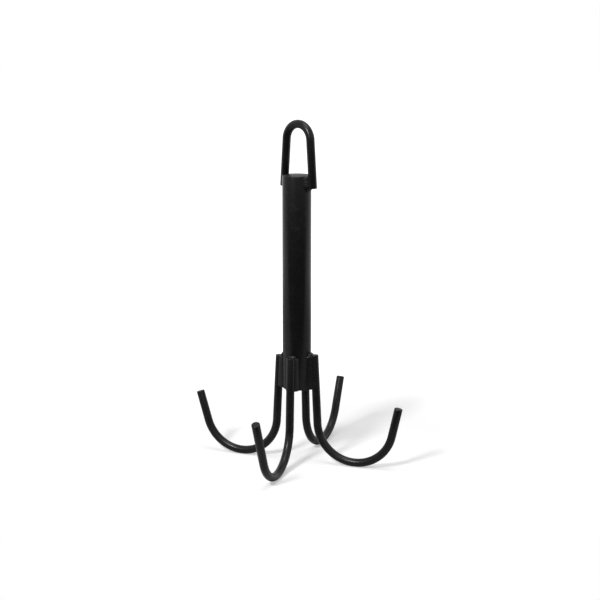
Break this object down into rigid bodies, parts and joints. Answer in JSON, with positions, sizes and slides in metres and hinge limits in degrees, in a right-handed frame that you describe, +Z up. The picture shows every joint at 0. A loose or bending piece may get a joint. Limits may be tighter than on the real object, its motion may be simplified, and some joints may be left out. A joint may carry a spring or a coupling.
{
  "type": "hanging hook tree",
  "caption": "Black welded-steel hook tree: a round stem with a hanging bail on top and J-shaped rod hooks round its foot, on whose bends it also stands.",
  "frame": {"origin": "on the table, under the stem's axis", "axes": "+Z up along the stem, +X towards the right hook of the picture, +Y towards the back hook"},
  "size_m": [0.2203, 0.2339, 0.3445],
  "materials": {
    "painted_steel": "semi-gloss black paint",
    "painted_weld": "semi-gloss black paint over a weld bead"
  },
  "bodies": {
    "root": {"stem_tube": "painted_steel", "top_cap": "painted_steel", "bottom_cap": "painted_steel", "hook_right": "painted_steel", "hook_right_weld_left": "painted_weld", "hook_right_weld_right": "painted_weld", "hook_right_weld_end": "painted_weld", "hook_back": "painted_steel", "hook_back_weld_left": "painted_weld", "hook_back_weld_right": "painted_weld", "hook_back_weld_end": "painted_weld", "hook_left": "painted_steel", "hook_left_weld_left": "painted_weld", "hook_left_weld_right": "painted_weld", "hook_left_weld_end": "painted_weld", "hook_front": "painted_steel", "hook_front_weld_left": "painted_weld", "hook_front_weld_right": "painted_weld", "hook_front_weld_end": "painted_weld", "bail": "painted_steel", "bail_right_weld_left": "painted_weld", "bail_right_weld_right": "painted_weld", "bail_right_weld_end": "painted_weld", "bail_left_weld_left": "painted_weld", "bail_left_weld_right": "painted_weld", "bail_left_weld_end": "painted_weld"}
  },
  "joints": []
}
